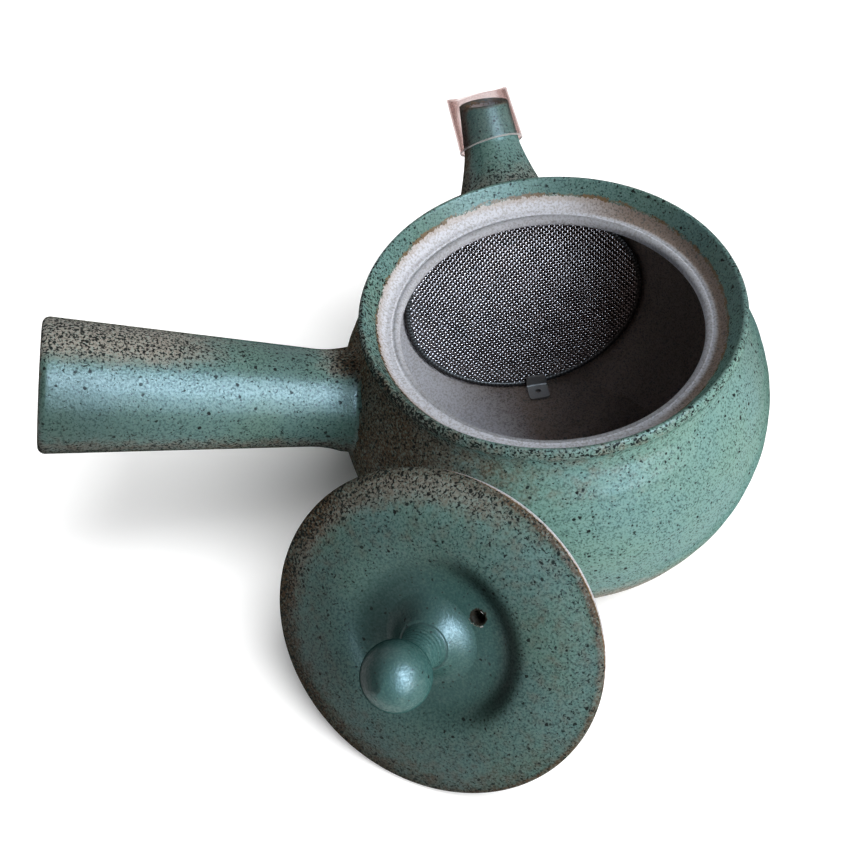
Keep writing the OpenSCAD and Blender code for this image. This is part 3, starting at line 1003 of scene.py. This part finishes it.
def build_hem():
    """Folded strip that binds the sheet's edge all round, ribbed across by the wire ends inside it."""
    rows_per_rib = 5
    n = RIBS * rows_per_rib
    loop = panel_outline(STRAINER_GAP + HEM_W / 2, n)
    way = unit(np.roll(loop, -1, 0) - np.roll(loop, 1, 0))
    out = np.stack([way[:, 1], -way[:, 0]], -1)
    a = ring_angles(HEM_SIDES)
    square = 0.55
    across = np.sign(np.cos(a)) * np.abs(np.cos(a)) ** square * HEM_W / 2
    front = np.sign(np.sin(a)) * np.abs(np.sin(a)) ** square * HEM_T / 2
    rib = 1 - RIB_D * (0.5 + 0.5 * np.cos(np.arange(n) * 2 * np.pi * RIBS / n))
    uv = loop[:, None] + across[None, :, None] * out[:, None]
    points = np.concatenate([uv, front[None, :, None] * rib[:, None, None]], -1).reshape(-1, 3)
    faces = grid_faces(n, HEM_SIDES, cyclic=True)
    make_object("folded_hem", to_panel(*points.T), faces, {}, "strainer", HEM, ["strainer_hem"])


def build_tab():
    """Bent tab: a square foot with a hole lies on the floor and its leg stands against the hem."""
    step = 0.2
    tilt = math.radians(STRAINER_TILT)
    foot_z = FLOOR_T + STRAINER_GAP
    hem_y = STRAINER_R + (foot_z - BELLY_Z) * math.tan(tilt) - HEM_T / 2 / math.cos(tilt)
    flat_len = TAB_LEN - TAB_BEND
    turn = math.pi / 2 - tilt
    length = flat_len + TAB_BEND * turn + TAB_UP - TAB_BEND
    across = np.linspace(-TAB_W / 2, TAB_W / 2, int(TAB_W / step) + 1)
    down = np.linspace(0, length, int(length / step) + 1)

    def strip(p):
        """Place of a sheet point (across, along) on the bent strip, and the strip's own normal there."""
        w, d = p
        if d < flat_len:
            return np.array([w, d, 0.0]), np.array([0, 0, 1.0])
        a = min((d - flat_len) / TAB_BEND, turn)
        place = np.array([w, flat_len + TAB_BEND * math.sin(a), TAB_BEND * (1 - math.cos(a))])
        rest = max(0.0, d - flat_len - TAB_BEND * turn)
        place += rest * np.array([0, math.cos(turn), math.sin(turn)])
        return place, np.array([0, -math.sin(a), math.cos(a)])

    bm = bmesh.new()
    rows = [[bm.verts.new((w, d, 0)) for w in across] for d in down]
    for a, b in zip(rows, rows[1:]):
        for k in range(len(across) - 1):
            bm.faces.new([a[k], a[k + 1], b[k + 1], b[k]])
    middle = np.array([0, TAB_HOLE_AT * TAB_LEN])

    def in_hole(face):
        return np.linalg.norm(np.array(face.calc_center_median()[:2]) - middle) < TAB_HOLE_R

    bmesh.ops.delete(bm, geom=[f for f in bm.faces if in_hole(f)], context="FACES")
    corner_low = np.array([-TAB_W / 2 + TAB_CORNER, TAB_CORNER])
    corner_high = np.array([TAB_W / 2 - TAB_CORNER, length - TAB_CORNER])
    for vert in bm.verts:
        p = np.array(vert.co[:2])
        d = p - middle
        if vert.is_boundary and np.linalg.norm(d) < 2 * TAB_HOLE_R:
            p = middle + d * TAB_HOLE_R / np.linalg.norm(d)
        inner = np.clip(p, corner_low, corner_high)
        over = np.linalg.norm(p - inner)
        if over > TAB_CORNER:
            p = inner + (p - inner) * TAB_CORNER / over
        vert.co = (p[0], p[1], 0)
    bm.verts.index_update()
    flat = [v.co[:2] for v in bm.verts]
    faces = [[v.index for v in f.verts] for f in bm.faces]
    rim = [[v.index for v in e.verts] for e in bm.edges if e.is_boundary]
    bm.free()
    count = len(flat)
    verts = []
    for thick in (0.0, TAB_T):
        for p in flat:
            place, normal = strip(p)
            place = place + thick * normal
            verts.append([-(place[0] + TAB_SIDE), hem_y - TAB_LEN + place[1] - TAB_CLEAR, foot_z + place[2]])
    faces = faces + [[v + count for v in f] for f in faces] + [[a, b, b + count, a + count] for a, b in rim]
    make_object("pull_tab", verts, faces, {}, "strainer", TAB, ["strainer_tab"], flat=True)


# The lid and its knob
def lid_frame():
    edge_b = LID_T / 2
    tilt = math.radians(LID_TILT)
    z = (LID_R - edge_b) * math.cos(tilt) + edge_b * math.sin(tilt) + edge_b
    touch_z = z + FLANGE_R * math.cos(tilt) - FLANGE_DEPTH * math.sin(tilt)
    out = belly_at(touch_z) + LEAN_GAP + FLANGE_R * math.sin(tilt) + FLANGE_DEPTH * math.cos(tilt)
    return np.append(out * direction(LID_TURN), z), turned(LID_TILT, LID_TURN)


def build_lid():
    edge_b = LID_T / 2
    rim_r = LID_R - edge_b
    half = 0.5 * (CROWN_R - DISH_R)
    slope = 0.4 * (LID_R - CROWN_R)
    curve = np.vstack([
        [(0, DISH_H)],
        bezier([(DISH_R, DISH_H), (DISH_R + half, DISH_H), (CROWN_R - half, CROWN_H),
                (CROWN_R, CROWN_H)], 40),
        bezier([(CROWN_R, CROWN_H), (CROWN_R + slope, CROWN_H), (rim_r - 3, 0.9), (rim_r, 0)], 40)[1:],
    ])
    flange_in = FLANGE_R - FLANGE_W
    root_z = -LID_T - FLANGE_B
    lip_z = -FLANGE_DEPTH + FLANGE_B
    top_r = np.linspace(0, rim_r, 96)
    under_r = top_r[top_r < flange_in - 1]
    top = np.stack([top_r, np.interp(top_r, curve[:, 0], curve[:, 1])], -1)
    profile = np.vstack([
        top,
        arc((rim_r, -edge_b), edge_b, 78, -90, 14),
        line((rim_r, -LID_T), (FLANGE_R + FLANGE_B, -LID_T), 6)[1:],
        bezier([(FLANGE_R + FLANGE_B, -LID_T), (FLANGE_R, -LID_T), (FLANGE_R, -LID_T),
                (FLANGE_R, root_z)], 5)[1:],
        line((FLANGE_R, root_z), (FLANGE_R, lip_z), 6)[1:],
        arc((FLANGE_R - FLANGE_B, lip_z), FLANGE_B, 0, -90, 5)[1:],
        arc((flange_in + FLANGE_B, lip_z), FLANGE_B, -90, -180, 5),
        line((flange_in, lip_z), (flange_in, root_z), 6)[1:],
        bezier([(flange_in, root_z), (flange_in, -LID_T), (flange_in, -LID_T),
                (flange_in - FLANGE_B, -LID_T)], 5)[1:],
        np.stack([under_r, np.full(len(under_r), -LID_T)], -1)[::-1],
    ])
    way = along(profile)
    glaze_end = way[len(top) + 5]
    verts, faces, row = lathe(profile, LATHE_COLS)
    r, az = round_axis(verts)
    on_top = row < len(top)

    # Where the glaze ends: past the edge, less so on the bare side, and chipped beside the vent
    vent = VENT_AT * direction(VENT_TURN)
    from_vent, vent_az = round_axis(verts[:, :2] - vent)
    from_vent -= VENT_R
    chip = 0.5 + 0.5 * cos_from(vent_az, CHIP_TURN)
    bare_side = fade(np.radians(apart(np.degrees(az), BARE_TURN)), 0.5, 1.6)
    edge = BARE_STEEP * (glaze_end + 2.5 * (1 - bare_side) - way[row])
    chipped = on_top & (from_vent < 0.8) & (chip > 0.80)
    in_vent = (from_vent < 0.4) | (~on_top & (from_vent < 1.2))
    edge = np.where(in_vent, 5.0, np.where(chipped, -0.4, edge))

    # Places on the lid: its edge; the side away from light, browner and more speckled; the ring's trough,
    # painted shade on one side; the top left, tanner and more speckled; the knob's painted shadow, its lee
    rim = smooth(r, 26, LID_R)
    lip = smooth(r, LID_R - 1.6, LID_R - 0.4)
    shade = 0.5 - 0.5 * cos_from(az, LIGHT_TURN)
    trough_shade = smooth(r, 14, 17.5) * fade(r, 18, 21.5) * smooth(cos_from(az, TROUGH_TURN), 0.1, 0.8)
    top_left = smooth(cos_from(az, TOP_LEFT_TURN), 0.1, 0.9)
    lee = smooth(cos_from(az, LEE_TURN), 0.3, 1.0) * smooth(r, 5, 8) * fade(r, 12, 20)
    # Painted light and shade: the lid darker than the pot, lighter towards the bare side and at the top
    # left, darker low down, in the ring's trough and in the knob's shadow
    light = 0.17 * cos_from(az, BARE_TURN) - 0.08 * smooth(np.cos(az), 0, 1)
    tone = 0.57 + light * r / LID_R + 0.25 * top_left * smooth(r, 23, 31)
    tone -= on_top * (0.22 * lee + 0.48 * trough_shade)
    rust = 0.32 * smooth(r, 16, 24) + 0.70 * rim * shade + 0.6 * lip
    marks = {
        "edge": np.clip(edge, -20, 20),
        "speck": (0.06 + 0.32 * smooth(r, 13, 22) + 0.40 * smooth(r, 27.5, 32) * (0.35 + 0.65 * shade)
                  + 0.15 * smooth(r, 22, 30) * top_left),
        # The vent's wall is brown and painted very dark as shade
        "rust": np.where(in_vent, 1.0, rust),
        "tone": np.where(in_vent, 0.15, tone),
        "deep": 0.75 * fade(r, 12, 22),
        "tan": 0.55 * smooth(r, 28, 32.5) * shade + 0.5 * smooth(r, 23, 31) * top_left,
    }
    origin, turn = lid_frame()
    mesh = marked_mesh("lid_disc", on_axis(origin, turn, verts), faces, marks)
    hole = on_axis(origin, turn, np.append(vent, 0))
    punch(mesh, hole, turn[:, 2], VENT_R, VENT_LOW_R, 2 * LID_T)
    finish_object("lid_disc", mesh, "lid", GLAZE, ["lid"])


def build_knob():
    """Ball on a waisted neck with throwing rings, which stands on a low mound with a crease between."""
    neck_a = -math.acos(KNOB_NECK_R / BALL_R)
    neck_z = BALL_H + BALL_R * math.sin(neck_a)
    crease_z = DISH_H + MOUND_H
    skirt = (KNOB_FOOT_R + MOUND_SKIRT, DISH_H - 0.12)
    neck = bezier([(MOUND_R, crease_z), (KNOB_NECK_R + 0.3 * (MOUND_R - KNOB_NECK_R), crease_z + 0.9),
                   (KNOB_NECK_R, crease_z + 0.45 * (neck_z - crease_z)), (KNOB_NECK_R, neck_z)], 44)
    ball = arc((0, BALL_H), BALL_R, math.degrees(neck_a), 90, 50)
    profile = np.vstack([
        [(0, DISH_H - KNOB_BED)],
        line((2, DISH_H - KNOB_BED), skirt, 8),
        bezier([skirt, (KNOB_FOOT_R - 1.5, DISH_H + 0.3), (MOUND_R + 1.3, crease_z - 1.1),
                (MOUND_R + 0.25, crease_z + 0.08)], 16)[1:],
        neck[:-6],
        bezier([neck[-6], neck[-2], ball[2], ball[7]], 12),
        ball[8:-1],
        [(0, BALL_H + BALL_R)],
    ])
    verts, faces, _ = lathe(profile, KNOB_COLS)
    z = verts[:, 2]
    r, az = round_axis(verts)
    r = np.maximum(1, r)
    thrown = smooth(z, crease_z + 0.3, crease_z + 1.2) * fade(z, 14, 17)
    ring = RING_D * thrown * np.sin(2 * np.pi * z / RING_PITCH + az)
    verts[:, :2] *= (1 + ring / r)[:, None]
    # Painted shade: a dark line in the crease, the ball's and the mound's side in the knob's lee darker, and
    # the knob darker than the pot and towards its foot
    crease = np.exp(-((z - crease_z) / 0.22) ** 2) * fade(r, MOUND_R + 0.1, MOUND_R + 0.5)
    lee = cos_from(az, LEE_TURN)
    mound_lee = smooth(lee, 0.3, 1.0) * fade(z, crease_z - 0.4, crease_z)
    ball_lee = smooth(lee, 0.0, 0.9) * smooth(z, 7, 11)
    marks = {
        "edge": 20.0,
        "speck": 0.06 - 0.03 * smooth(z, 2, 8),
        "tone": 0.58 + 0.14 * smooth(z, 1.5, 8) - 0.20 * crease - 0.42 * ball_lee - 0.24 * mound_lee,
        "deep": 0.75 + 0.1 * smooth(z, 6, 14),
    }
    verts = on_axis(*lid_frame(), verts)
    make_object("lid_ball_knob", verts, faces, marks, "lid", GLAZE, ["lid_knob"])


# Camera
def build_camera():
    data = bpy.data.cameras.new("camera")
    data.sensor_width = SENSOR_MM
    data.lens = SENSOR_MM * FOCAL_PX / PHOTO_PX
    data.clip_start = 0.01
    camera = new_object("camera", data)
    place = Matrix.Translation(CAMERA_PLACE)
    for degrees, axis in ((CAMERA_HEADING, "Z"), (90 - CAMERA_PITCH, "X"), (-CAMERA_ROLL, "Z")):
        place = place @ Matrix.Rotation(math.radians(degrees), 4, axis)
    camera.matrix_world = place
    bpy.context.scene.camera = camera


# Floor, light and background
FLOOR_HALF = 3.0
FLOOR_ALBEDO = 0.28
FLOOR_SEEN = 1.1
FILL = 0.02


def seen_rays(tree):
    """1 for rays that show the background: straight from the camera, mirrored or through clear things."""
    path = add(tree, "LightPath")
    shown = calc(tree, "MAXIMUM", path.outputs["Is Camera Ray"], path.outputs["Is Glossy Ray"])
    return calc(tree, "MAXIMUM", shown, path.outputs["Is Transmission Ray"])


def build_stage():
    corners = [(x * FLOOR_HALF, y * FLOOR_HALF, 0) for x, y in ((-1, -1), (1, -1), (1, 1), (-1, 1))]
    mesh = bpy.data.meshes.new("floor")
    mesh.from_pydata(corners, [], [(0, 1, 2, 3)])
    material, tree, shader = new_material("pale_floor")
    tree.nodes.remove(shader)
    tone = ease(tree, seen_rays(tree), 0, 1, FLOOR_ALBEDO, FLOOR_SEEN)
    paper = add(tree, "BsdfDiffuse", {"Color": tone})
    feed(tree, tree.nodes["Material Output"], {"Surface": paper.outputs[0]})
    mesh.materials.append(material)
    floor = new_object("floor", mesh)

    world = bpy.data.worlds.new("studio")
    world.use_nodes = True
    tree = world.node_tree
    strength = ease(tree, seen_rays(tree), 0, 1, FILL, 1.0)
    feed(tree, tree.nodes["Background"], {"Strength": strength, "Color": (1, 1, 1, 1)})
    bpy.context.scene.world = world
    return floor


def sun(name, towards, strength, angle, colour=(1.0, 1.0, 1.0)):
    data = bpy.data.lights.new(name, "SUN")
    data.energy = strength
    data.angle = math.radians(angle)
    data.color = colour
    lamp = new_object(name, data)
    lamp.rotation_euler = Vector(towards).to_track_quat("Z", "Y").to_euler()
    return lamp


def link_light(lamp, obj, state):
    """Lets a lamp light this object only, or everything but it."""
    group = bpy.data.collections.new(lamp.name + "_link")
    group.objects.link(obj)
    group.collection_objects[0].light_linking.link_state = state
    lamp.light_linking.receiver_collection = group


def build_lights(floor):
    """Lamps for the object, lamps for its glints only, and a soft box for the floor only."""
    for name, towards, strength, angle, colour in (
            ("key_low", (0.59, -0.79, 0.18), 2.0, 40, (1.0, 0.99, 0.97)),
            ("key_high", (0.53, -0.53, 0.67), 1.6, 30, (0.95, 0.98, 1.0)),
            ("back_right", (0.32, 0.56, 0.77), 0.4, 60, (0.95, 0.97, 1.0)),
            ("back_left", (-0.55, 0.80, 0.10), 0.6, 50, (1.0, 1.0, 1.0))):
        link_light(sun(name, towards, strength, angle, colour), floor, "EXCLUDE")
    for name, towards, strength in (("window", (0.48, -0.46, 0.75), 17.0),
                                    ("window_low", (0.36, -0.84, 0.40), 7.5)):
        sun(name, towards, strength, 42, (0.52, 0.78, 1.0)).visible_diffuse = False
    link_light(sun("soft_box", (0.36, -0.42, 0.83), 5.0, 56), floor, "INCLUDE")


build_camera()
build_lights(build_stage())
build_pot()
build_handle()
build_spout()
build_sleeve()
build_wires()
build_hem()
build_tab()
build_lid()
build_knob()

bpy.context.scene.view_settings.view_transform = "Standard"
